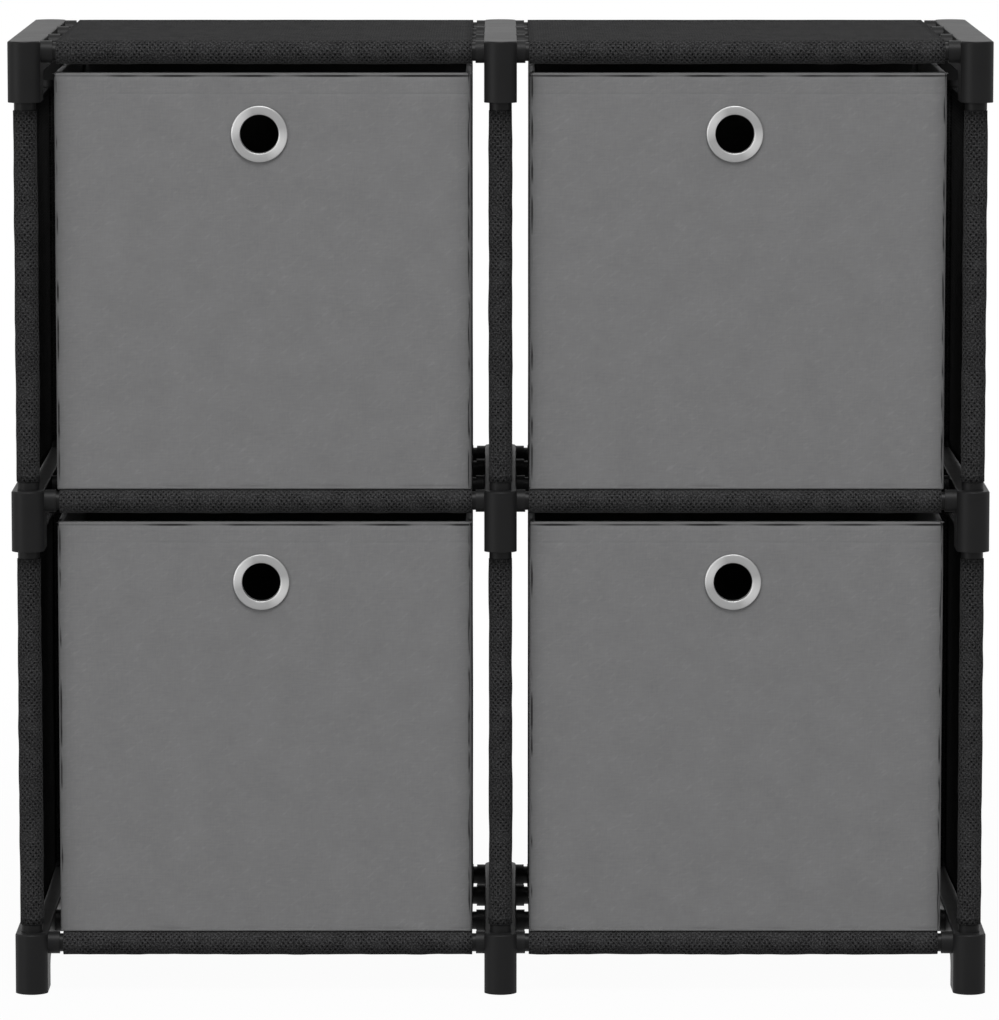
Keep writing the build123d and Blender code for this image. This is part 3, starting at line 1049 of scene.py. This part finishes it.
def floor_material(stage):
    """White floor that keeps a soft part of the shadow close to the unit."""
    material = bpy.data.materials.new("white_floor")
    wire = empty_tree(material)
    place = wire.object_place()
    away = wire.node("ShaderNodeVectorMath", {"operation": "LENGTH"}, {0: place}, output="Value")
    share = stage.shadow * (1 - away.smooth(*SHADOW_FADE))
    white = wire.node("ShaderNodeEmission", {}, {"Color": WHITE, "Strength": 1.0})
    matte = wire.node("ShaderNodeBsdfDiffuse", {}, {"Color": FLOOR_GREY})
    factor = shown_directly(wire) * (1 - share)
    mixed = wire.node("ShaderNodeMixShader", {}, {0: factor, 1: matte, 2: white})
    wire.node("ShaderNodeOutputMaterial", {}, {"Surface": mixed})
    return material


def add_floor(stage):
    """The floor, which belongs to the stage and not to the unit."""
    bm = bmesh.new()
    bmesh.ops.create_grid(bm, x_segments=8, y_segments=8, size=FLOOR_HALF)
    mesh = bpy.data.meshes.new("floor")
    bm.to_mesh(mesh)
    bm.free()
    mesh.materials.append(floor_material(stage))
    floor = bpy.data.objects.new("floor", mesh)
    bpy.context.scene.collection.objects.link(floor)


def add_sky(stage):
    """White all round where it shows directly, and a weaker light from all round elsewhere."""
    world = bpy.data.worlds.new("white_room")
    wire = empty_tree(world)
    strength = stage.ambient + shown_directly(wire) * (1 - stage.ambient)
    sky = wire.node("ShaderNodeBackground", {}, {"Color": WHITE, "Strength": strength})
    wire.node("ShaderNodeOutputWorld", {}, {"Surface": sky})
    bpy.context.scene.world = world


def add_lamp(name, place, target, width, power, glossy=True):
    """A square soft lamp that points at a target, and shows in gloss or not."""
    lamp = bpy.data.lights.new(name, "AREA")
    lamp.energy = power
    lamp.size = width
    holder = bpy.data.objects.new(name, lamp)
    holder.location = place
    holder.visible_glossy = glossy
    holder.rotation_euler = (Vector(target) - Vector(place)).to_track_quat("-Z", "Y").to_euler()
    bpy.context.scene.collection.objects.link(holder)


def add_camera(stage):
    """The camera that the photo's view is matched with."""
    camera = bpy.data.cameras.new("photo_camera")
    camera.lens = stage.focal_pixels * camera.sensor_width / stage.picture_height
    camera.clip_end = VIEW_REACH
    holder = bpy.data.objects.new("photo_camera", camera)
    holder.location = stage.camera_place
    holder.rotation_euler = (math.pi / 2 - stage.camera_pitch, 0.0, 0.0)
    bpy.context.scene.collection.objects.link(holder)
    bpy.context.scene.camera = holder


class UNIT_OT_stage(bpy.types.Operator):
    """Set the floor, the light and the camera"""

    bl_idname = "cube_unit.stage"
    bl_label = "Stage"

    def execute(self, context):
        stage = context.scene.unit_stage
        context.scene.view_settings.view_transform = "Standard"
        add_floor(stage)
        add_sky(stage)
        target = (cad_low + cad_high) / 2
        add_lamp("key_lamp", stage.key_place, target, stage.lamp_width, stage.key)
        add_lamp("top_lamp", stage.top_place, target, stage.top_width, stage.top)
        add_lamp("fill_lamp", stage.fill_place, target, stage.lamp_width, stage.fill, glossy=False)
        add_lamp("back_lamp", stage.back_place, target, stage.lamp_width, stage.back, glossy=False)
        add_camera(stage)
        return {"FINISHED"}


OPERATORS = (
    UNIT_OT_finishes, UNIT_OT_shelves, UNIT_OT_panels, UNIT_OT_covers, UNIT_OT_eyelets, UNIT_OT_stage,
)
GROUPS = {
    "unit_cloth": ClothSizes, "unit_box": BoxSizes, "unit_finishes": Finishes, "unit_stage": StageValues,
}


class UNIT_PT_panel(bpy.types.Panel):
    """Lists the steps that build the unit, and the values that they read"""

    bl_label = "Cube Storage Unit"
    bl_space_type = "VIEW_3D"
    bl_region_type = "UI"
    bl_category = "Cube Unit"

    def draw(self, context):
        for operator in OPERATORS:
            self.layout.operator(operator.bl_idname)
        for name, group in GROUPS.items():
            box = self.layout.box()
            for value in group.__annotations__:
                box.prop(getattr(context.scene, name), value)


def register():
    """Register the classes and hang their values on the scene."""
    for entry in (*GROUPS.values(), *OPERATORS, UNIT_PT_panel):
        bpy.utils.register_class(entry)
    for name, group in GROUPS.items():
        setattr(bpy.types.Scene, name, PointerProperty(type=group))


def unregister():
    """Take the values off the scene and unregister the classes."""
    for name in GROUPS:
        delattr(bpy.types.Scene, name)
    for entry in (UNIT_PT_panel, *reversed(OPERATORS), *reversed(GROUPS.values())):
        bpy.utils.unregister_class(entry)


def main():
    """Build every piece."""
    register()
    bpy.ops.cube_unit.finishes()
    bpy.ops.cube_unit.shelves()
    bpy.ops.cube_unit.panels()
    bpy.ops.cube_unit.covers()
    bpy.ops.cube_unit.eyelets()
    bpy.ops.cube_unit.stage()


if __name__ == "__main__":
    main()
